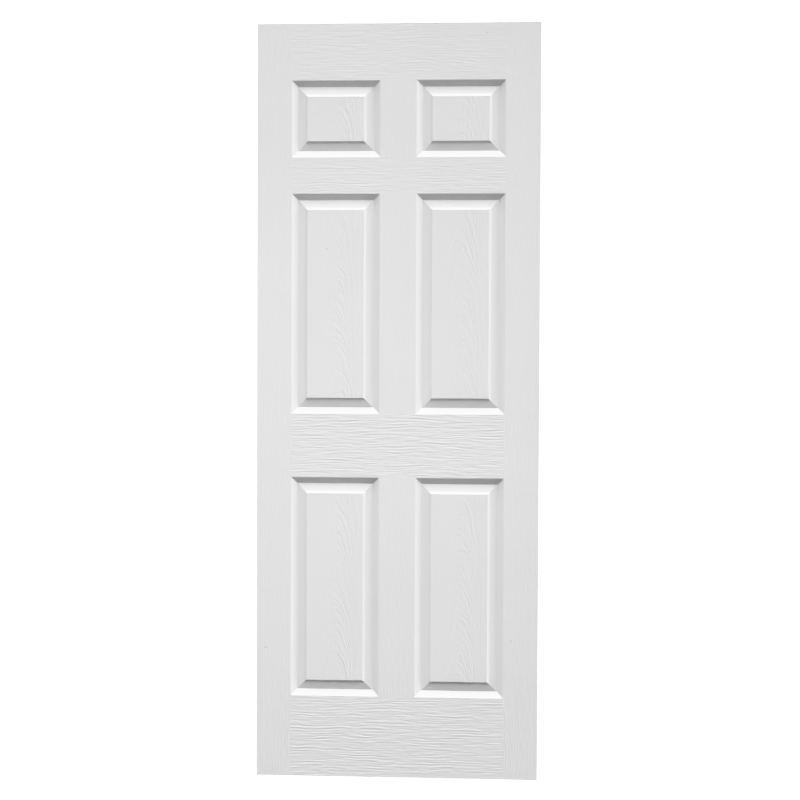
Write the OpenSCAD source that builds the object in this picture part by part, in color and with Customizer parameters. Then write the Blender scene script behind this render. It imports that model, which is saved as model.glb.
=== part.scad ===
// Six-panel hollow core door leaf.
// Two moulded hardboard skins are glued over a softwood frame, two lock blocks and a paper honeycomb.
// X runs across the leaf, Z up it, and the front face looks along -Y.
// The origin is at the middle of the bottom edge.

/* [Leaf] */
// Width of the leaf
door_w = 762; // [610:1:914]
// Height of the leaf
door_h = 2032; // [1960:1:2134]
// Thickness of the leaf over both skins
door_t = 35; // [34:0.5:45]

/* [Face layout] */
// Visible width of each stile, from the leaf's edge to the panel openings
stile_face = 93; // [80:1:115]
// Visible width of the mullion between the two columns of panels
mullion_face = 96; // [60:1:120]
// Visible height of the top rail
top_rail_face = 152; // [100:1:180]
// Visible height of the frieze rail under the top panels
frieze_rail_face = 96; // [60:1:130]
// Visible height of the lock rail
lock_rail_face = 170; // [120:1:220]
// Visible height of the bottom rail
bottom_rail_face = 219.5; // [150:0.5:250]
// Height of the openings of the two top panels
top_panel_h = 207; // [150:1:250]
// Height of the openings of the two middle panels
middle_panel_h = 593; // [500:1:650]

/* [Panel moulding] */
// Depth of the groove at the foot of the moulding
groove_depth = 8.4; // [7:0.1:9.5]
// Width of the moulding, from the opening's edge to the foot of the bevel
mould_w = 18; // [15:0.5:22]
// Width of the rounded edge at the top of the moulding
roll_w = 2.5; // [1.5:0.5:3]
// Height that the rounded edge drops
roll_drop = 0.7; // [0.5:0.1:1.2]
// Radius of the rounded edge at the top of the moulding
roll_r = 6; // [5:0.5:9]
// Width of the flat at the bottom of the groove
groove_flat = 0.8; // [0.5:0.1:1.5]
// Width of the straight bevel that climbs to the field
bevel_w = 17.5; // [12:0.5:24]
// Height that the bevel climbs
bevel_rise = 3.5; // [2.5:0.1:5]
// Width of the hollow curve between the bevel and the field
cove_w = 8; // [6:0.5:10]
// Radius of the hollow curve between the bevel and the field
cove_r = 14; // [10:0.5:20]
// How far the raised field lies below the face of the stiles
field_drop = 0.4; // [0.1:0.1:1]

/* [Skins] */
// Thickness of the moulded hardboard
skin_t = 3.2; // [2.8:0.1:3.6]

/* [Frame] */
// Width of each softwood stile inside the leaf
stile_w = 30; // [25:1:40]
// Height of the softwood top rail
top_rail_h = 35; // [25:1:60]
// Height of the softwood bottom rail
bottom_rail_h = 38; // [25:1:80]
// Height of the lock blocks
block_h = 400; // [250:10:500]
// Gap between a lock block and the moulding beside it
block_gap = 3; // [1:0.5:8]
// Diameter of the vent holes through the rails
vent_d = 5; // [3:0.5:8]
// Distance of each vent hole from the middle of its rail
vent_offset = 175; // [80:5:240]

/* [Corner staples] */
// Width of a staple over its legs
staple_w = 12; // [10:0.5:16]
// Length of a staple's legs
staple_leg = 10; // [6:0.5:12]
// Thickness of the staple wire
wire_t = 1.2; // [0.9:0.1:1.6]
// Distance between the two staples of a corner
staple_pitch = 16; // [10:1:18]

/* [Honeycomb core] */
// Width of a cell between two facing walls, before the honeycomb is stretched to fill the frame
cell_w = 70; // [55:1:90]
// Thickness of the paper walls
paper_t = 0.6; // [0.5:0.1:1]
// Gap between the honeycomb and the wood around it
core_gap = 1; // [0.5:0.5:3]
// Gap between the crushed honeycomb and the skins at the grooves
crush_gap = 0.4; // [0.2:0.1:1]
// How far the crushed band reaches beyond the mouldings on each side
crush_margin = 5; // [4:0.5:12]

/* [Hidden] */
$fn = 180;

// Facets that the rounded edge and the hollow curve of the moulding are drawn with
roll_steps = 4;
cove_steps = 8;

// How far a shape reaches past what it cuts or joins
reach_past = 1;

skin_colour = [0.95, 0.95, 0.94];
pine_colour = [0.87, 0.74, 0.55];
block_colour = [0.80, 0.66, 0.47];
paper_colour = [0.72, 0.56, 0.38];
steel_colour = [0.70, 0.71, 0.73];

// The gap between the flat parts of the skins is filled by the frame.
inner_t = door_t - 2 * skin_t;
left_x = -door_w / 2;

// Panel openings: two columns and three rows, from the bottom up.
panel_w = (door_w - 2 * stile_face - mullion_face) / 2;
column_x = [left_x + stile_face, mullion_face / 2];
bottom_panel_h = door_h - top_rail_face - top_panel_h - frieze_rail_face - middle_panel_h
               - lock_rail_face - bottom_rail_face;
lock_rail_z = bottom_rail_face + bottom_panel_h;
middle_panel_z = lock_rail_z + lock_rail_face;
top_panel_z = middle_panel_z + middle_panel_h + frieze_rail_face;
rows = [[bottom_rail_face, bottom_panel_h], [middle_panel_z, middle_panel_h], [top_panel_z, top_panel_h]];

// Lock blocks, centred on the lock rail
block_w = stile_face - stile_w - block_gap;
block_z = lock_rail_z + (lock_rail_face - block_h) / 2;

// The honeycomb fills the frame with whole rows and columns.
// It is cut away round the lock blocks by whole rows.
core_w = door_w - 2 * (stile_w + core_gap);
core_z = bottom_rail_h + core_gap;
core_h = door_h - top_rail_h - core_gap - core_z;
column_count = round(core_w / cell_w);
cell_pitch = core_w / column_count;
row_count = round(core_h / cell_w * 2 / sqrt(3));
row_pitch = core_h / row_count;
cut_rows = [floor((block_z - core_gap - core_z) / row_pitch),
            ceil((block_z + block_h + core_gap - core_z) / row_pitch)];

// Section of the moulding: the first number runs inwards from the opening's edge, the second is the height.
roll_start = [0, 0];
roll_end = [roll_w, -roll_drop];
groove_start = [mould_w - groove_flat, -groove_depth];
bevel_foot = [mould_w, -groove_depth];
bevel_top = bevel_foot + [bevel_w, bevel_rise];
field_edge = [bevel_top.x + cove_w, -field_drop];
ring_w = field_edge.x;

// Slopes of that section, in degrees and downwards
function fall(p, q) = atan2(p.y - q.y, q.x - p.x);
roll_slope = fall(roll_start, roll_end);
mould_slope = fall(roll_end, groove_start);
bevel_slope = fall(bevel_foot, bevel_top);
cove_slope = fall(bevel_top, field_edge);

// The point on the skin's hidden side that lies straight behind a point of its face
function behind(p, slope) = p - skin_t * [sin(slope), cos(slope)];

// A point as far before p as q is after it
function before(p, q) = 2 * p - q;

// Points of an arc from p to q that bulges to its left, with both its ends
function arc_points(p, q, r, steps) =
    let (half = asin(norm(q - p) / (2 * r)), middle = atan2(q.y - p.y, q.x - p.x) + 90,
         centre = p - r * [cos(middle + half), sin(middle + half)])
    [for (i = [0 : steps])
        let (turn = middle + half * (1 - 2 * i / steps)) centre + r * [cos(turn), sin(turn)]];

// A section with this outline at the left side of a span and its mirror image at the right side
module both_sides(outline, span) {
    past_middle = span / 2 + reach_past;
    half = concat([[past_middle, outline[0].y]], outline, [[past_middle, outline[len(outline) - 1].y]]);
    polygon(half);
    translate([span, 0]) mirror([1, 0]) polygon(half);
}

// Section of the air over a panel that had no raised field
module pan_section(span) {
    rounded_edge = arc_points(roll_start, roll_end, roll_r, roll_steps);
    both_sides(concat([[0, skin_t]], rounded_edge, [groove_start]), span);
}

// Section of the raised field, which runs on below the groove
module field_section(span) {
    cove = arc_points(field_edge, bevel_top, cove_r, cove_steps);
    both_sides(concat(cove, [before(bevel_foot, bevel_top)]), span);
}

// Section of the skin and all that is over it, from inside the flat sheet downwards
module pan_back_section(span) {
    edge = behind(roll_start, 0);
    roll_back = behind(roll_end, roll_slope);
    groove_back = behind(groove_start, mould_slope / 2);
    both_sides([before(edge, roll_back), roll_back, [groove_back.x, -groove_depth - skin_t]], span);
}

// Section of the hollow behind the raised field, which runs on below the groove
module field_back_section(span) {
    foot = behind(bevel_foot, bevel_slope);
    top = behind(bevel_top, bevel_slope);
    both_sides([before(foot, top), top, behind(field_edge, cove_slope / 2)], span);
}

// A shape with the same section both ways, as a mitred frame has; its children draw that section over $span
module crossed(w, h) {
    reach = ring_w;
    intersection() {
        translate([0, h + reach, 0]) rotate([90, 0, 0]) linear_extrude(h + 2 * reach)
            let ($span = w) children();
        translate([-reach, 0, 0]) rotate([90, 0, 90]) linear_extrude(w + 2 * reach)
            let ($span = h) children();
    }
}

// Puts its children at each panel opening of a leaf that lies face up, and says how high the opening is
module at_panels() {
    for (x = column_x, row = rows) {
        $panel_h = row[1];
        translate([x, row[0]]) children();
    }
}

// A whole skin, lying face up
module skin() {
    difference() {
        union() {
            translate([left_x, 0, -skin_t]) cube([door_w, door_h, skin_t]);
            at_panels() difference() {
                crossed(panel_w, $panel_h) pan_back_section($span);
                crossed(panel_w, $panel_h) field_back_section($span);
            }
        }
        at_panels() difference() {
            crossed(panel_w, $panel_h) pan_section($span);
            crossed(panel_w, $panel_h) field_section($span);
        }
    }
}

// Stands up what was drawn lying face up
module stand() {
    translate([0, -door_t / 2]) rotate([90, 0, 0]) children();
}

module front_skin() {
    color(skin_colour) stand() skin();
}

module back_skin() {
    color(skin_colour) mirror([0, 1, 0]) stand() skin();
}

// A staple across the joint between a stile and a rail: crown at the top, legs down, middle at the origin
module staple() {
    translate([-staple_w / 2, wire_t / 2, -staple_leg]) rotate([90, 0, 0]) linear_extrude(wire_t)
        difference() {
            square([staple_w, staple_leg]);
            translate([wire_t, -wire_t]) square([staple_w - 2 * wire_t, staple_leg]);
        }
}

// All the staples: two in each corner of the frame, on both of its faces
module staples() {
    rail_middles = [bottom_rail_h / 2, door_h - top_rail_h / 2];
    for (side = [-1, 1], z = rail_middles, step = [-0.5, 0.5], flip = [0, 1]) {
        mirror([0, flip, 0])
            translate([side * (door_w / 2 - stile_w), -inner_t / 2, z + step * staple_pitch])
                rotate([90, 0, 0]) staple();
    }
}

// A stile on the left edge of the leaf
module stile() {
    translate([left_x, -inner_t / 2, 0]) cube([stile_w, inner_t, door_h]);
}

// A rail between the stiles, with its bottom at height z
module rail(z, h) {
    difference() {
        translate([left_x + stile_w, -inner_t / 2, z]) cube([door_w - 2 * stile_w, inner_t, h]);
        for (side = [-1, 1])
            translate([side * vent_offset, 0, z - reach_past]) cylinder(h = h + 2 * reach_past, d = vent_d);
    }
}

// A lock block beside the left stile
module block() {
    translate([left_x + stile_w, -inner_t / 2, block_z]) cube([block_w, inner_t, block_h]);
}

module hinge_stile() {
    color(pine_colour) difference() {
        stile();
        staples();
    }
}

module lock_stile() {
    color(pine_colour) difference() {
        mirror([1, 0, 0]) stile();
        staples();
    }
}

module top_rail() {
    color(pine_colour) difference() {
        rail(door_h - top_rail_h, top_rail_h);
        staples();
    }
}

module bottom_rail() {
    color(pine_colour) difference() {
        rail(0, bottom_rail_h);
        staples();
    }
}

module lock_side_block() {
    color(block_colour) mirror([1, 0, 0]) block();
}

module hinge_side_block() {
    color(block_colour) block();
}

// The inside of one cell, around the origin
module cell() {
    side_x = (cell_pitch - paper_t) / 2;
    slope = atan2(row_pitch / 3, cell_pitch / 2);
    peak = row_pitch * 2 / 3 - paper_t / 2 / cos(slope);
    shoulder = peak - side_x * tan(slope);
    half = [[0, peak], [side_x, shoulder], [side_x, -shoulder]];
    polygon([for (turn = [1, -1], point = half) turn * point]);
}

// Flat pattern of the honeycomb; even rows start with a quarter of a cell, odd rows with three quarters
module honeycomb_pattern() {
    difference() {
        translate([-core_w / 2, core_z]) square([core_w, core_h]);
        for (row = [0 : row_count], column = [-1 : column_count])
            translate([(column + 0.75 - row % 2 / 2) * cell_pitch - core_w / 2, core_z + row * row_pitch])
                cell();
        for (flip = [0, 1]) mirror([flip, 0])
            translate([left_x + stile_w, core_z + cut_rows[0] * row_pitch])
                square([block_w + core_gap, (cut_rows[1] - cut_rows[0]) * row_pitch]);
    }
}

// What the skin over one panel takes out of the honeycomb, lying face up
module crush(w, h) {
    band = ring_w + crush_margin;
    translate([0, 0, -skin_t - field_drop]) cube([w, h, door_t]);
    translate([0, 0, -groove_depth - skin_t - crush_gap]) linear_extrude(door_t) difference() {
        translate([-crush_margin, -crush_margin]) square([w + 2 * crush_margin, h + 2 * crush_margin]);
        translate([band, band]) square([w - 2 * band, h - 2 * band]);
    }
}

module honeycomb_core() {
    color(paper_colour) difference() {
        translate([0, inner_t / 2, 0]) rotate([90, 0, 0]) linear_extrude(inner_t) honeycomb_pattern();
        for (flip = [0, 1])
            mirror([0, flip, 0]) stand() at_panels() crush(panel_w, $panel_h);
    }
}

module corner_staples() {
    color(steel_colour) staples();
}

front_skin();
back_skin();
hinge_stile();
lock_stile();
top_rail();
bottom_rail();
lock_side_block();
hinge_side_block();
honeycomb_core();
corner_staples();
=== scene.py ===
import math

import bmesh
import bpy
from mathutils import Euler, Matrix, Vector


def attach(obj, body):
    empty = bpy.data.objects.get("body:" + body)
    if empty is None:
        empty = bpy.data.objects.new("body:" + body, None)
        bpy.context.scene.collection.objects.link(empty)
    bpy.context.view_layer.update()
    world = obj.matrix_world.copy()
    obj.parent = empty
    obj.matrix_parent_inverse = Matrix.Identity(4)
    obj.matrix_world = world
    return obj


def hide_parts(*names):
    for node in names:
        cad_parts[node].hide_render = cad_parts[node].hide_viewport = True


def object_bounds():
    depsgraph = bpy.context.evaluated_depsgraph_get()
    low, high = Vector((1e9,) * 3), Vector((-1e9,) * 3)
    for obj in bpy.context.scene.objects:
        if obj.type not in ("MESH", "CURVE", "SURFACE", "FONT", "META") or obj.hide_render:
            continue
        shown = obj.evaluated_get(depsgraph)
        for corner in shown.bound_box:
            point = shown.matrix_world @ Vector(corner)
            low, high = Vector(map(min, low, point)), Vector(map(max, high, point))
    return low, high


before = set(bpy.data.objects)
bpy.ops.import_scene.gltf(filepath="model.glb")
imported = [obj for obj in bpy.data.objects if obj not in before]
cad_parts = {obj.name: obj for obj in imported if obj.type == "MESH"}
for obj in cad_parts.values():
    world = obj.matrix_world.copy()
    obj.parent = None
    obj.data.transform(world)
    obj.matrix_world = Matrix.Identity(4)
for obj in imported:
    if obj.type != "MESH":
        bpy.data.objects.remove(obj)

# Six-panel hollow core door leaf: two moulded skins over a softwood frame and a paper honeycomb.
# X runs across the leaf, Z up it, and the front face looks along -Y. All sizes are in metres.

MM = 0.001

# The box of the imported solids, which the dressed part has to keep
cad_low, cad_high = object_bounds()
door_w = cad_high.x - cad_low.x
door_h = cad_high.z - cad_low.z
half_t = (cad_high.y - cad_low.y) / 2

# Face layout
stile_face = 93 * MM
mullion_face = 96 * MM
top_rail_face = 152 * MM
frieze_rail_face = 96 * MM
lock_rail_face = 170 * MM
bottom_rail_face = 219.5 * MM
top_panel_h = 207 * MM
middle_panel_h = 593 * MM

# Section of the moulding
groove_depth = 8.4 * MM
mould_w = 18 * MM
roll_w = 2.5 * MM
roll_drop = 0.7 * MM
roll_r = 6 * MM
groove_flat = 0.8 * MM
bevel_w = 17.5 * MM
bevel_rise = 3.5 * MM
cove_w = 8 * MM
cove_r = 14 * MM
field_drop = 0.4 * MM
skin_t = 3.2 * MM

# How far a crisp edge is softened by the primer, at the moulding and round the leaf
soft_edge = 0.5 * MM
outer_edge = 0.8 * MM


# ---- Section of a skin: (distance inwards from the opening's edge, height over the face) ----

def arc(start, end, radius, steps):
    """Points after start on an arc to end.

    The arc bulges to the left for a positive radius, and to the right for a negative one.
    """
    start, end = Vector(start), Vector(end)
    chord = end - start
    left = Vector((-chord.y, chord.x)).normalized() * math.copysign(1, radius)
    centre = (start + end) / 2 - left * math.sqrt(radius ** 2 - chord.length_squared / 4)
    first = start - centre
    turn = -math.copysign(2 * math.asin(chord.length / (2 * abs(radius))), radius)
    points = []
    for step in range(1, steps + 1):
        angle = turn * step / steps
        spin = Vector((first.x * math.cos(angle) - first.y * math.sin(angle),
                       first.x * math.sin(angle) + first.y * math.cos(angle)))
        points.append(centre + spin)
    return points


def softened(before, corner, after, steps=4):
    """Points of a smooth curve that replaces a crisp corner."""
    before, corner, after = Vector(before), Vector(corner), Vector(after)
    start = corner + (before - corner).normalized() * soft_edge
    end = corner + (after - corner).normalized() * soft_edge
    points = []
    for step in range(steps + 1):
        t = step / steps
        points.append(start * (1 - t) ** 2 + corner * 2 * t * (1 - t) + end * t ** 2)
    return points


def face_section():
    """The visible side, from the face of the stile down the moulding, over the groove and up to the field."""
    roll_end = Vector((roll_w, -roll_drop))
    groove = Vector((mould_w - groove_flat, -groove_depth))
    foot = Vector((mould_w, -groove_depth))
    top = foot + Vector((bevel_w, bevel_rise))
    field = Vector((top.x + cove_w, -field_drop))
    down = [Vector((0, 0))] + arc((0, 0), roll_end, roll_r, 6) + [roll_end.lerp(groove, 0.5)]
    up = [foot.lerp(top, 0.5), top] + arc(top, field, -cove_r, 8)
    inside = Vector((field.x + 2 * soft_edge, field.y))
    return (down + softened(down[-1], groove.lerp(foot, 0.5), up[0])
            + up[:-1] + softened(up[-2], field, inside))


def hidden_section():
    """The hidden side, with straight facets a skin's thickness behind the visible side."""
    def behind(x, height, slope):
        return Vector((x - skin_t * math.sin(slope), height - skin_t * math.cos(slope)))
    roll_slope = math.atan2(roll_drop, roll_w)
    mould_slope = math.atan2(groove_depth - roll_drop, mould_w - groove_flat - roll_w)
    bevel_slope = -math.atan2(bevel_rise, bevel_w)
    cove_slope = -math.atan2(groove_depth - bevel_rise - field_drop, cove_w)
    bottom = -groove_depth - skin_t
    foot = behind(mould_w, -groove_depth, bevel_slope)
    to_bottom = (foot.y - bottom) / math.tan(bevel_slope)
    return [
        Vector((0, -skin_t)),
        behind(roll_w, -roll_drop, roll_slope),
        Vector((behind(mould_w - groove_flat, -groove_depth, mould_slope / 2).x, bottom)),
        Vector((foot.x + to_bottom, bottom)),
        behind(mould_w + bevel_w, bevel_rise - groove_depth, bevel_slope),
        behind(mould_w + bevel_w + cove_w, -field_drop, cove_slope / 2),
    ]


# ---- Skins ----

ZONES = ["stile_primer", "rail_primer", "moulding_primer", "field_primer", "raw_board"]

x_lines = [cad_low.x, cad_low.x + stile_face, -mullion_face / 2,
           mullion_face / 2, cad_high.x - stile_face, cad_high.x]
z_lines = [cad_low.z, cad_low.z + bottom_rail_face,
           cad_high.z - top_rail_face - top_panel_h - frieze_rail_face - middle_panel_h - lock_rail_face,
           cad_high.z - top_rail_face - top_panel_h - frieze_rail_face - middle_panel_h,
           cad_high.z - top_rail_face - top_panel_h - frieze_rail_face,
           cad_high.z - top_rail_face - top_panel_h,
           cad_high.z - top_rail_face, cad_high.z]
PANEL_COLUMNS = (1, 3)
PANEL_ROWS = (1, 3, 5)


class Skin:
    """The mesh of one skin. side is -1 for the front and 1 for the back."""

    def __init__(self, side):
        self.side = side
        self.bm = bmesh.new()
        self.panel = self.bm.verts.layers.float_vector.new("panel")
        self.at = {}

    def vertex(self, x, z, height, panel=None):
        key = (round(x, 7), round(z, 7), round(height, 7))
        if key not in self.at:
            self.at[key] = self.bm.verts.new((x, self.side * (half_t + height), z))
        if panel is not None:
            self.at[key][self.panel] = panel
        return self.at[key]

    def face(self, corners, zone):
        made = self.bm.faces.new(corners)
        made.material_index = ZONES.index(zone)
        made.smooth = True
        return made

    def flats(self, edge, height, zone_of):
        """The flat cells between the openings. edge is how far they stay inside the leaf's outline."""
        xs = [x_lines[0] + edge] + x_lines[1:-1] + [x_lines[-1] - edge]
        zs = [z_lines[0] + edge] + z_lines[1:-1] + [z_lines[-1] - edge]
        for i in range(len(xs) - 1):
            for j in range(len(zs) - 1):
                if i in PANEL_COLUMNS and j in PANEL_ROWS:
                    continue
                corners = [(xs[i], zs[j]), (xs[i + 1], zs[j]), (xs[i + 1], zs[j + 1]), (xs[i], zs[j + 1])]
                self.face([self.vertex(x, z, height) for x, z in corners], zone_of(i, j))
        return xs, zs

    def rings(self, section, zones):
        """Nested rectangles at each opening that follow the section, closed by the field."""
        for number, (i, j) in enumerate((i, j) for i in PANEL_COLUMNS for j in PANEL_ROWS):
            # Where the panel is, for its grain: its middle, its number and its foot
            panel = Vector(((x_lines[i] + x_lines[i + 1]) / 2, number, z_lines[j]))
            loops = []
            for point in section:
                x0, x1 = x_lines[i] + point.x, x_lines[i + 1] - point.x
                z0, z1 = z_lines[j] + point.x, z_lines[j + 1] - point.x
                loops.append([self.vertex(x, z, point.y, panel)
                              for x, z in ((x0, z0), (x1, z0), (x1, z1), (x0, z1))])
            for outer, inner in zip(loops, loops[1:]):
                for k in range(4):
                    n = (k + 1) % 4
                    self.face([outer[k], outer[n], inner[n], inner[k]], zones[0])
                    self.bm.edges.get((outer[k], inner[k])).smooth = False
            self.face(loops[-1], zones[1])

    def border(self, xs, zs, profile):
        """The edge round the leaf: profile runs outwards from the lines xs and zs and down."""
        left, right, low, high = xs[0], xs[-1], zs[0], zs[-1]
        loop = [(x, low) for x in xs[:-1]] + [(right, z) for z in zs[:-1]]
        loop += [(x, high) for x in xs[:0:-1]] + [(left, z) for z in zs[:0:-1]]
        strips = []
        for out, height in profile:
            strip = []
            for x, z in loop:
                outwards_x = (x == right) - (x == left)
                outwards_z = (z == high) - (z == low)
                strip.append(self.vertex(x + outwards_x * out, z + outwards_z * out, height))
            strips.append(strip)
        for k, (inner, outer) in enumerate(zip(strips, strips[1:])):
            for n in range(len(loop)):
                m = (n + 1) % len(loop)
                self.face([inner[n], inner[m], outer[m], outer[n]],
                          "stile_primer" if k < len(strips) - 2 else "raw_board")

    def piece(self, name):
        bmesh.ops.recalc_face_normals(self.bm, faces=self.bm.faces)
        mesh = bpy.data.meshes.new(name)
        self.bm.to_mesh(mesh)
        self.bm.free()
        made = bpy.data.objects.new(name, mesh)
        bpy.context.scene.collection.objects.link(made)
        normals = made.modifiers.new("area_weighted_normals", "WEIGHTED_NORMAL")
        normals.mode = "FACE_AREA"
        normals.weight = 100
        normals.keep_sharp = True
        return made


def zone_of(i, j):
    """The material of a flat cell: stiles run the leaf's full height and rails run between them."""
    if i in (0, 4):
        return "stile_primer"
    return "stile_primer" if i == 2 and j in PANEL_ROWS else "rail_primer"


def make_skin(name, side, node, finishes):
    skin = Skin(side)
    quarter = [(outer_edge * math.sin(a), outer_edge * (math.cos(a) - 1))
               for a in (math.radians(step * 90 / 5) for step in range(6))]
    xs, zs = skin.flats(outer_edge, 0, zone_of)
    skin.border(xs, zs, quarter + [(outer_edge, -skin_t)])
    skin.rings(face_section(), ("moulding_primer", "field_primer"))
    skin.flats(0, -skin_t, lambda i, j: "raw_board")
    skin.rings(hidden_section(), ("raw_board", "raw_board"))
    made = skin.piece(name)
    for zone in ZONES:
        made.data.materials.append(finishes[zone])
    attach(made, "root")
    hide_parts(node)
    return made


# ---- Materials ----

# Pressed grain: how deep it is, and how far apart the ripples of the rails are
grain_depth = 0.3 * MM
ripple_pitch = 7.4 * MM

# Frame wood: lengths between finger joints, the fingers, and the rings
stick_length = 370 * MM
finger_pitch = 4.4 * MM
finger_length = 11 * MM
ring_pitch = 3.4 * MM

# Shares of a stick's length at which a glue line ends, and at which it is full
glue_share = (0.003, 0.0008)

# Light and dark wood of the frame and of the lock blocks
pine = ((0.44, 0.29, 0.155), (0.25, 0.135, 0.06))
block_pine = ((0.38, 0.25, 0.14), (0.23, 0.13, 0.06))


class Finish:
    """A material in the making. Its methods add nodes and give their outputs."""

    def __init__(self, name, roughness):
        self.material = bpy.data.materials.new(name)
        self.material.use_nodes = True
        self.tree = self.material.node_tree
        self.shader = self.tree.nodes["Principled BSDF"]
        self.shader.inputs["Roughness"].default_value = roughness

    def feed(self, socket, value):
        if isinstance(value, bpy.types.NodeSocket):
            self.tree.links.new(value, socket)
        else:
            socket.default_value = value

    def node(self, kind, **settings):
        made = self.tree.nodes.new("ShaderNode" + kind)
        for key, value in settings.items():
            setattr(made, key, value)
        return made

    def place(self):
        return self.node("TexCoord").outputs["Object"]

    def mapped(self, vector, scale, shift=(0, 0, 0)):
        made = self.node("Mapping")
        self.feed(made.inputs["Vector"], vector)
        self.feed(made.inputs["Scale"], scale)
        self.feed(made.inputs["Location"], shift)
        return made.outputs[0]

    def noise(self, vector, scale=1, detail=2, roughness=0.5, output="Fac"):
        made = self.node("TexNoise")
        self.feed(made.inputs["Vector"], vector)
        self.feed(made.inputs["Scale"], scale)
        self.feed(made.inputs["Detail"], detail)
        self.feed(made.inputs["Roughness"], roughness)
        return made.outputs[output]

    def math(self, operation, *values):
        made = self.node("Math", operation=operation)
        for socket, value in zip(made.inputs, values):
            self.feed(socket, value)
        return made.outputs[0]

    def vector(self, operation, *values, output="Vector"):
        made = self.node("VectorMath", operation=operation)
        for socket, value in zip(made.inputs, values):
            self.feed(socket, value)
        return made.outputs[output]

    def axis(self, vector, name):
        made = self.node("SeparateXYZ")
        self.feed(made.inputs[0], vector)
        return made.outputs[name]

    def point(self, *values):
        """The vector of three values."""
        made = self.node("CombineXYZ")
        for socket, value in zip(made.inputs, values):
            self.feed(socket, value)
        return made.outputs[0]

    def wave(self, value, pitch):
        return self.math("SINE", self.math("MULTIPLY", value, 2 * math.pi / pitch))

    def mixed(self, *parts):
        """The sum of (value, weight) pairs."""
        total = 0
        for value, weight in parts:
            total = self.math("MULTIPLY_ADD", value, weight, total)
        return total

    def blend(self, share, first, second, most=1):
        """first, turning into second as share goes to 1, up to most."""
        made = self.node("Mix", data_type="RGBA")
        self.feed(made.inputs[0], self.math("MULTIPLY", share, most) if most != 1 else share)
        for socket, colour in zip(made.inputs[6:8], (first, second)):
            self.feed(socket, colour if isinstance(colour, bpy.types.NodeSocket) else (*colour, 1))
        return made.outputs[2]

    def ramp(self, factor, *stops):
        made = self.node("ValToRGB")
        self.feed(made.inputs[0], factor)
        elements = made.color_ramp.elements
        while len(elements) < len(stops):
            elements.new(1)
        for element, (position, colour) in zip(elements, stops):
            element.position = position
            element.color = (*colour, 1)
        return made.outputs[0]

    def spread(self, value, low, high):
        """value, with low to high stretched to 0 to 1 and held there."""
        made = self.node("MapRange")
        self.feed(made.inputs["Value"], value)
        self.feed(made.inputs["From Min"], low)
        self.feed(made.inputs["From Max"], high)
        return made.outputs[0]

    def bump(self, height, depth):
        made = self.node("Bump")
        self.feed(made.inputs["Height"], height)
        self.feed(made.inputs["Distance"], depth)
        self.feed(self.shader.inputs["Normal"], made.outputs[0])

    def colour(self, value):
        self.feed(self.shader.inputs["Base Color"], value)


def rail_grain(finish):
    """Long wavy ripples across the leaf that come and go over finer pores, fainter towards the top."""
    place = finish.place()
    slow = finish.noise(finish.mapped(place, (4, 4, 8)), detail=1)
    quick = finish.noise(finish.mapped(place, (18, 18, 36)), detail=1)
    bent = finish.mixed((finish.axis(place, "Z"), 1), (slow, 24 * MM), (quick, 7 * MM))
    patches = finish.spread(finish.noise(finish.mapped(place, (16, 16, 60)), detail=1), 0.42, 0.6)
    ripples = finish.math("MULTIPLY", finish.wave(bent, ripple_pitch), patches)
    lanes = finish.point(finish.axis(place, "X"), 0, bent)
    pores = finish.noise(finish.mapped(lanes, (17, 1, 190)), detail=2)
    relief = finish.mixed((ripples, 0.32), (pores, 3.2))
    strength = finish.math("MULTIPLY_ADD", finish.spread(finish.axis(place, "Z"), 1.8, 1), 0.52, 0.48)
    return finish.math("MULTIPLY", relief, strength)


def stile_grain(finish):
    """Short fine strokes up the leaf, with a few longer swellings, fainter towards the top."""
    place = finish.place()
    pores = finish.noise(finish.mapped(place, (240, 1, 26)), detail=2)
    swells = finish.noise(finish.mapped(place, (85, 1, 7)), detail=1)
    relief = finish.mixed((pores, 1.9), (swells, 0.7))
    strength = finish.math("MULTIPLY_ADD", finish.spread(finish.axis(place, "Z"), 1.4, 0.3), 0.3, 0.7)
    return finish.math("MULTIPLY", relief, strength)


def flat_sawn(finish, spot, from_crown, number, height):
    """Nested arches about a wandering crown, which fade out to both sides of it."""
    limb = finish.math("MULTIPLY", from_crown, from_crown)
    shake = finish.noise(finish.mapped(spot, (30, 3, 17)), detail=2)
    bent = finish.mixed((height, 1), (limb, 62), (shake, 50 * MM))
    lanes = finish.point(from_crown, number, bent)
    lines = finish.noise(finish.mapped(lanes, (9, 3, 56)), detail=2, roughness=0.65)
    rise = finish.spread(from_crown, -38 * MM, -16 * MM)
    fade = finish.spread(from_crown, 60 * MM, 30 * MM)
    return finish.math("MULTIPLY", finish.math("SUBTRACT", lines, 0.5), finish.math("MULTIPLY", rise, fade))


def field_grain(finish):
    """A flat-sawn board's arches up each raised field, with straight grain on their right."""
    place = finish.place()
    panel = finish.node("Attribute", attribute_name="panel").outputs["Vector"]
    across = finish.math("SUBTRACT", finish.axis(place, "X"), finish.axis(panel, "X"))
    height = finish.math("SUBTRACT", finish.axis(place, "Z"), finish.axis(panel, "Z"))
    number = finish.axis(panel, "Y")
    spot = finish.point(across, number, height)
    wander = finish.noise(finish.mapped(spot, (0, 5, 5)), detail=1)
    from_crown = finish.math("SUBTRACT", across, finish.math("MULTIPLY_ADD", wander, 44 * MM, -20 * MM))
    arches = flat_sawn(finish, spot, from_crown, number, height)
    pores = finish.noise(finish.mapped(spot, (190, 9, 14)), detail=2)
    right = finish.spread(from_crown, -20 * MM, 30 * MM)
    straight = finish.math("MULTIPLY", finish.math("SUBTRACT", pores, 0.5),
                           finish.math("MULTIPLY_ADD", right, 0.8, 0.2))
    return finish.mixed((arches, 3.8), (straight, 1.8))


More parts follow.
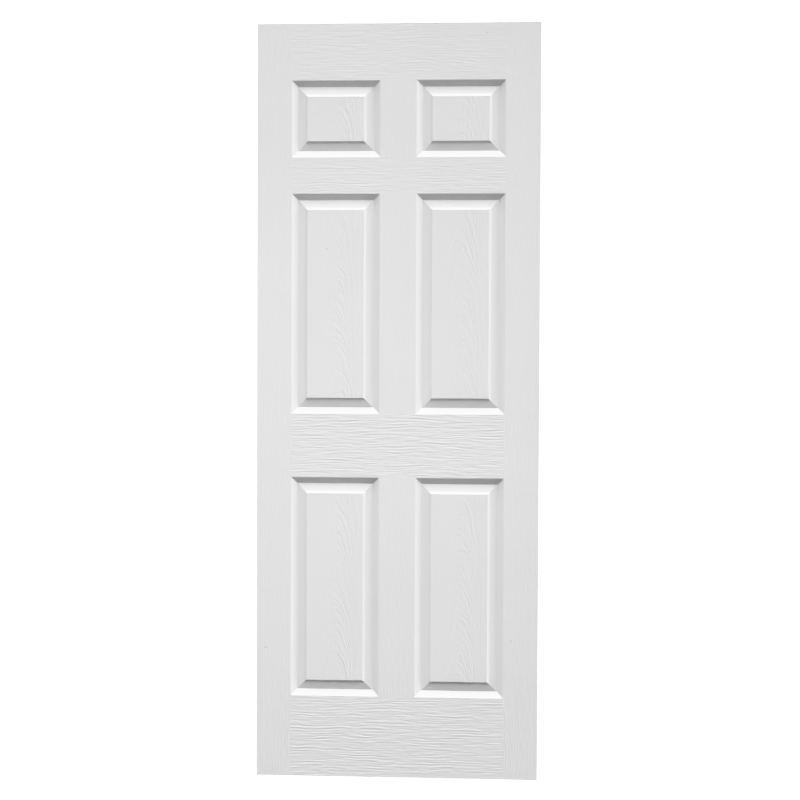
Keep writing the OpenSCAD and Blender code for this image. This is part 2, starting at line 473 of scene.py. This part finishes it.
# Small dark flecks in the front's primer: across from the middle, up from the bottom, and how wide
FLECKS = [(236, 2003, 3.0), (-192, 1428, 3.4), (-355, 350, 3.4), (308, 377, 3.2)]


def flecks(finish, place, colour):
    """The colour with the front's flecks in it."""
    marked = None
    for x, z, width in FLECKS:
        away = finish.vector("DISTANCE", place, (x * MM, -half_t, z * MM), output="Value")
        spot = finish.spread(away, width / 2 * MM, width / 4 * MM)
        marked = spot if marked is None else finish.math("MAXIMUM", marked, spot)
    return finish.blend(finish.math("MULTIPLY", marked, 0.85), colour, (0.26, 0.25, 0.23))


def primer(name, grain=None):
    """Matt white primer with the fine pebble of sprayed paint, over pressed wood grain where there is any."""
    finish = Finish(name, 0.55)
    place = finish.place()
    clouds = finish.noise(finish.mapped(place, (4, 4, 3)), detail=3)
    base = finish.ramp(clouds, (0.3, (0.79, 0.79, 0.79)), (0.7, (0.81, 0.81, 0.81)))
    finish.colour(flecks(finish, place, base))
    pebble = finish.noise(place, 300, detail=2)
    sheen = finish.noise(finish.mapped(place, (14, 14, 10)), detail=2)
    finish.feed(finish.shader.inputs["Roughness"], finish.math("MULTIPLY_ADD", sheen, 0.16, 0.47))
    relief = [(pebble, 0.12)] + ([(grain(finish), 1)] if grain else [])
    finish.bump(finish.mixed(*relief), grain_depth)
    return finish.material


def raw_board():
    """Brown hardboard of a skin's sawn edges and hidden side, with a breath of primer by its face."""
    finish = Finish("raw_board", 0.8)
    place = finish.place()
    fibre = finish.noise(place, 900, detail=3)
    layers = finish.noise(finish.mapped(place, (25, 1400, 25)), detail=2)
    brown = finish.ramp(finish.mixed((fibre, 0.5), (layers, 0.5)),
                        (0.34, (0.09, 0.045, 0.02)), (0.5, (0.15, 0.08, 0.04)), (0.66, (0.23, 0.135, 0.07)))
    depth = finish.math("SUBTRACT", half_t, finish.math("ABSOLUTE", finish.axis(place, "Y")))
    mist = finish.noise(finish.mapped(place, (90, 90, 40)), detail=3)
    reach = finish.math("MULTIPLY", mist, 1.8 * MM)
    spray = finish.spread(finish.math("SUBTRACT", reach, depth), -0.3 * MM, 0.5 * MM)
    finish.colour(finish.blend(spray, brown, (0.72, 0.71, 0.69)))
    finish.bump(finish.mixed((fibre, 0.6), (layers, 0.6)), 0.12 * MM)
    return finish.material


def finger_joints(finish, run, thick):
    """How far a point is along its length of the stick, from 0 to 1, and three chances for that length."""
    half_finger = finger_pitch / 2
    zigzag = finish.math("PINGPONG", thick, half_finger)
    fingers = finish.math("MULTIPLY", zigzag, finger_length / half_finger)
    length = finish.math("DIVIDE", finish.math("ADD", run, fingers), stick_length)
    seed = finish.node("TexWhiteNoise", noise_dimensions="1D")
    finish.feed(seed.inputs["W"], finish.math("FLOOR", length))
    chances = seed.outputs["Color"]
    return finish.math("FRACT", length), [finish.axis(chances, name) for name in "XYZ"]


def inside_edge(finish, place, along):
    """How far a point of a stick is inside the leaf's edge that the stick lies at."""
    if along == "Z":
        half_size = door_w / 2
        from_middle = finish.axis(place, "X")
    else:
        half_size = door_h / 2
        from_middle = finish.math("SUBTRACT", finish.axis(place, "Z"), half_size)
    return finish.math("SUBTRACT", half_size, finish.math("ABSOLUTE", from_middle))


def late_wood(finish, inwards, thick, chances):
    """Dark lines of uneven growth rings, about a pith whose place differs from length to length."""
    tone, deep, aside = chances
    pith_side = finish.math("ADD", inwards, finish.math("MULTIPLY_ADD", deep, 40 * MM, 8 * MM))
    pith_front = finish.math("ADD", thick, finish.math("MULTIPLY_ADD", aside, 90 * MM, -45 * MM))
    reach = finish.math("SQRT", finish.math("ADD", finish.math("MULTIPLY", pith_side, pith_side),
                                            finish.math("MULTIPLY", pith_front, pith_front)))
    uneven = finish.noise(finish.mapped(finish.point(reach, tone, 0), (130, 9, 1)), detail=1)
    rings = finish.wave(finish.math("MULTIPLY_ADD", uneven, 6 * MM, reach), ring_pitch)
    return finish.math("POWER", finish.math("MULTIPLY_ADD", rings, 0.5, 0.5), 3)


def softwood(name, along, light, dark):
    """Planed pine in finger-jointed lengths. Each has growth rings about a pith beyond the leaf's edge."""
    finish = Finish(name, 0.6)
    place = finish.place()
    thick = finish.axis(place, "Y")
    fraction, chances = finger_joints(finish, finish.axis(place, along), thick)
    lengthwise = {"X": (1.6, 14, 14), "Z": (14, 14, 1.6)}[along]
    sway = finish.math("MULTIPLY", finish.noise(finish.mapped(place, lengthwise), detail=2), 9 * MM)
    inwards = finish.math("ADD", inside_edge(finish, place, along), sway)
    late = late_wood(finish, inwards, thick, chances)
    stretch = {"X": (12, 260, 260), "Z": (260, 260, 12)}[along]
    fibre = finish.noise(finish.mapped(place, stretch), detail=3)
    wood = finish.blend(finish.math("MULTIPLY", late, 0.75), light, dark)
    wood = finish.blend(finish.spread(fibre, 0.42, 0.72), wood, dark, 0.3)
    wood = finish.blend(finish.math("MULTIPLY", chances[0], 0.4), wood, dark)
    from_joint = finish.math("MINIMUM", fraction, finish.math("SUBTRACT", 1, fraction))
    glue = finish.spread(from_joint, *glue_share)
    finish.colour(finish.blend(finish.math("MULTIPLY", glue, 0.75), wood, (0.09, 0.045, 0.02)))
    finish.feed(finish.shader.inputs["Roughness"], finish.math("MULTIPLY_ADD", late, -0.12, 0.66))
    finish.bump(finish.mixed((fibre, 0.7), (late, 0.25)), 0.12 * MM)
    return finish.material


def kraft_paper():
    """Recycled brown paper with flecks and loose fibres."""
    finish = Finish("kraft_paper", 0.85)
    place = finish.place()
    fibre = finish.noise(finish.mapped(place, (400, 400, 900)), detail=3)
    brown = finish.ramp(fibre, (0.3, (0.40, 0.26, 0.15)),
                        (0.5, (0.48, 0.33, 0.20)), (0.7, (0.56, 0.41, 0.26)))
    specks = finish.spread(finish.noise(place, 1500, detail=0), 0.72, 0.78)
    finish.colour(finish.blend(finish.math("MULTIPLY", specks, 0.5), brown, (0.16, 0.10, 0.06)))
    finish.bump(fibre, 0.05 * MM)
    return finish.material


def staple_steel():
    """Galvanised wire, drawn along its length."""
    finish = Finish("staple_steel", 0.35)
    finish.shader.inputs["Metallic"].default_value = 1
    place = finish.place()
    bloom = finish.noise(place, 900, detail=2)
    finish.colour(finish.ramp(bloom, (0.3, (0.52, 0.53, 0.55)), (0.7, (0.70, 0.71, 0.72))))
    finish.feed(finish.shader.inputs["Roughness"], finish.math("MULTIPLY_ADD", bloom, 0.25, 0.22))
    finish.bump(bloom, 0.02 * MM)
    return finish.material


def dress(node, material):
    """Gives a CAD node its material."""
    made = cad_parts[node]
    made.data.materials.clear()
    made.data.materials.append(material)


finishes = {
    "stile_primer": primer("stile_primer", stile_grain),
    "rail_primer": primer("rail_primer", rail_grain),
    "moulding_primer": primer("moulding_primer"),
    "field_primer": primer("field_primer", field_grain),
    "raw_board": raw_board(),
}
make_skin("front_face", -1, "front_skin", finishes)
make_skin("back_face", 1, "back_skin", finishes)

upright_pine = softwood("upright_pine", "Z", *pine)
level_pine = softwood("level_pine", "X", *pine)
block_wood = softwood("block_wood", "Z", *block_pine)
for node in ("hinge_stile", "lock_stile"):
    dress(node, upright_pine)
for node in ("top_rail", "bottom_rail"):
    dress(node, level_pine)
for node in ("lock_side_block", "hinge_side_block"):
    dress(node, block_wood)
dress("honeycomb_core", kraft_paper())
dress("corner_staples", staple_steel())


# ---- Studio ----

# Where highlights start to roll off, and the light that becomes pure white
shoulder = 0.7
white = 4

# Lobes of light: the axis, the angles at the rim and where it is full in degrees, and the strength
overhead = ((0, 0, 1), 55, 15, 9)
low_right = ((1, 0, 0.27), 30, 5, 9.1)

# The floor's radius, and how far it lies below the leaf
floor_radius = 30
floor_gap = 0.2 * MM

# Each face's lamp: its width and watts, and its place aside of the leaf, before the face and up
lamp_size = 1.2
lamp_power = 14
lamp_aside = 0.32
lamp_before = 2.2
lamp_up = 1.06

# The camera: its lens in millimetres, its place before the front face, and its turn in degrees
camera_lens = 72
camera_place = Vector((0.260, -4.293, 1.133))
camera_turn = (88.53, -0.24, 3.38)


def floor():
    """A large white floor that gives no light back to the leaf."""
    bm = bmesh.new()
    bmesh.ops.create_circle(bm, cap_ends=True, segments=96, radius=floor_radius)
    mesh = bpy.data.meshes.new("floor")
    bm.to_mesh(mesh)
    bm.free()
    made = bpy.data.objects.new("floor", mesh)
    bpy.context.scene.collection.objects.link(made)
    made.location.z = cad_low.z - floor_gap
    made.visible_diffuse = False
    made.visible_glossy = False
    finish = Finish("pale_floor", 0.9)
    finish.colour((0.22, 0.22, 0.22, 1))
    finish.shader.inputs["Emission Color"].default_value = (1, 1, 1, 1)
    finish.shader.inputs["Emission Strength"].default_value = white
    finish.shader.inputs["Specular IOR Level"].default_value = 0
    mesh.materials.append(finish.material)


class Sky:
    """Soft studio light: lobes of light round the leaf, on a white backdrop."""

    def __init__(self):
        world = bpy.data.worlds.new("studio")
        bpy.context.scene.world = world
        world.use_nodes = True
        self.tree = world.node_tree
        self.towards = self.node("TexCoord").outputs["Generated"]
        self.light = None

    def node(self, kind, **settings):
        made = self.tree.nodes.new("ShaderNode" + kind)
        for key, value in settings.items():
            setattr(made, key, value)
        return made

    def lobe(self, axis, rim, full, strength):
        """Adds light round the axis: nothing beyond the rim's angle, all of it within the full angle."""
        dot = self.node("VectorMath", operation="DOT_PRODUCT")
        self.tree.links.new(self.towards, dot.inputs[0])
        dot.inputs[1].default_value = Vector(axis).normalized()
        rise = self.node("MapRange", interpolation_type="SMOOTHSTEP")
        self.tree.links.new(dot.outputs["Value"], rise.inputs["Value"])
        rise.inputs["From Min"].default_value = math.cos(math.radians(rim))
        rise.inputs["From Max"].default_value = math.cos(math.radians(full))
        rise.inputs["To Max"].default_value = strength
        if self.light is None:
            self.light = rise.outputs[0]
            return
        total = self.node("Math", operation="ADD")
        self.tree.links.new(self.light, total.inputs[0])
        self.tree.links.new(rise.outputs[0], total.inputs[1])
        self.light = total.outputs[0]

    def shine(self, backdrop):
        """Sheds the light, and shows an even backdrop to the camera."""
        swap = self.node("Mix")
        self.tree.links.new(self.node("LightPath").outputs["Is Camera Ray"], swap.inputs[0])
        self.tree.links.new(self.light, swap.inputs[2])
        swap.inputs[3].default_value = backdrop
        background = self.tree.nodes["Background"]
        background.inputs["Color"].default_value = (1, 1, 1, 1)
        self.tree.links.new(swap.outputs[0], background.inputs["Strength"])


def lamp(name, side):
    """A soft lamp before a face, which lights its middle more than its ends."""
    data = bpy.data.lights.new(name, "AREA")
    data.shape = "DISK"
    data.size = lamp_size
    data.energy = lamp_power
    made = bpy.data.objects.new(name, data)
    bpy.context.scene.collection.objects.link(made)
    made.location = (side * lamp_aside, side * lamp_before, lamp_up)
    made.rotation_euler = (-side * math.pi / 2, 0, 0)
    made.visible_camera = False


def camera():
    data = bpy.data.cameras.new("camera")
    data.sensor_width = 36
    data.lens = camera_lens
    data.clip_end = 100
    made = bpy.data.objects.new("camera", data)
    bpy.context.scene.collection.objects.link(made)
    made.location = camera_place - Vector((0, half_t, 0))
    made.rotation_euler = Euler([math.radians(angle) for angle in camera_turn], "XYZ")
    bpy.context.scene.camera = made


def film():
    """Standard view with a shoulder, so that bright slopes keep their shading below white."""
    view = bpy.context.scene.view_settings
    view.view_transform = "Standard"
    view.use_curve_mapping = True
    curve = view.curve_mapping
    curve.clip_max_x = white
    points = curve.curves[3].points
    points[-1].location = (white, 1)
    for light in (0.35, 0.7, 0.85, 1, 1.15, 1.3, 1.6, 2):
        over = max(0, light - shoulder) / (1 - shoulder)
        points.new(light, min(light, shoulder) + (1 - shoulder) * (1 - math.exp(-over)))
    for point in points:
        point.handle_type = "AUTO_CLAMPED"
    curve.update()


sky = Sky()
sky.lobe(*overhead)
sky.lobe(*low_right)
sky.shine(white)
lamp("front_lamp", -1)
lamp("back_lamp", 1)
floor()
camera()
film()
